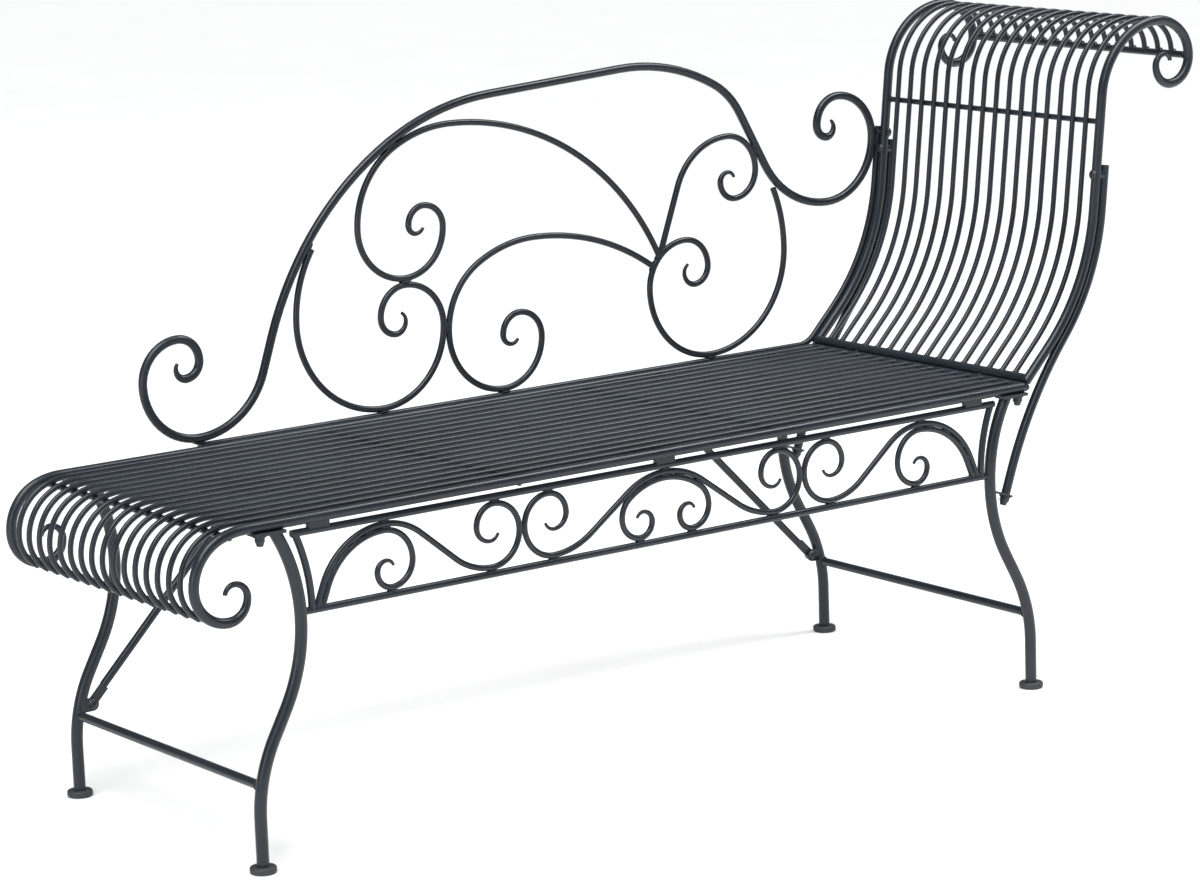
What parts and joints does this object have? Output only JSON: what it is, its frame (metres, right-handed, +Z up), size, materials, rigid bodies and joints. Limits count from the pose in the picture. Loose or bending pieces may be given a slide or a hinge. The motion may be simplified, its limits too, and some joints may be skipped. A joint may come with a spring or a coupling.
{
  "type": "metal chaise longue",
  "caption": "Patio chaise longue of dark coated steel rods with a rolled foot, a swept headrest with rolled top, an open scrolled side back and a scrolled apron on slim curved legs.",
  "frame": {"origin": "on the floor under the middle of the whole piece", "axes": "+X from the foot end to the headrest, +Y towards the side with the tall scrolled back, +Z up"},
  "size_m": [1.6882, 0.492, 0.9311],
  "materials": {
    "frame_coat": "satin powder coat",
    "rod_coat": "satin powder coat",
    "scroll_coat": "satin powder coat",
    "fastener": "dark satin",
    "pad": "matt"
  },
  "bodies": {
    "root": {"apron_bottom_rail": "scroll_coat", "apron_centre_curl": "scroll_coat", "apron_centre_wave": "scroll_coat", "apron_curl_foot": "scroll_coat", "apron_curl_head": "scroll_coat", "apron_post_foot": "scroll_coat", "apron_post_head": "scroll_coat", "apron_spacers": "scroll_coat", "apron_studs": "fastener", "apron_top_rail": "scroll_coat", "apron_wave_foot": "scroll_coat", "apron_wave_head": "scroll_coat", "back_arch_tube": "scroll_coat", "back_base_bar": "scroll_coat", "back_high_scroll": "scroll_coat", "back_hook": "scroll_coat", "back_loop": "scroll_coat", "back_low_scroll": "scroll_coat", "back_mid_scroll": "scroll_coat", "brace_bolts": "fastener", "brace_foot": "frame_coat", "brace_head": "frame_coat", "brace_nuts": "fastener", "brace_tabs": "frame_coat", "button_bolts": "fastener", "cap_bolts": "fastener", "foot_pad_foot_front": "pad", "foot_pad_foot_rear": "pad", "foot_pad_head_front": "pad", "foot_pad_head_rear": "pad", "headrest_bottom_tube": "frame_coat", "headrest_mid_bar": "frame_coat", "headrest_rail_front": "frame_coat", "headrest_rail_rear": "frame_coat", "headrest_rods": "rod_coat", "headrest_top_bar": "frame_coat", "leg_foot_front": "frame_coat", "leg_foot_rear": "frame_coat", "leg_head_front": "frame_coat", "leg_head_rear": "frame_coat", "leg_plate_foot_front": "frame_coat", "leg_plate_foot_rear": "frame_coat", "leg_plate_head_front": "frame_coat", "leg_plate_head_rear": "frame_coat", "seat_cross_bar_1": "frame_coat", "seat_cross_bar_2": "frame_coat", "seat_cross_bar_3": "frame_coat", "seat_end_tube": "frame_coat", "seat_foot_bar": "frame_coat", "seat_rail_front": "frame_coat", "seat_rail_rear": "frame_coat", "seat_rods": "rod_coat", "stay_front": "frame_coat", "stay_rear": "frame_coat", "stay_saddles": "frame_coat", "stay_tabs": "frame_coat", "stretcher_foot": "frame_coat", "stretcher_head": "frame_coat"}
  },
  "joints": []
}
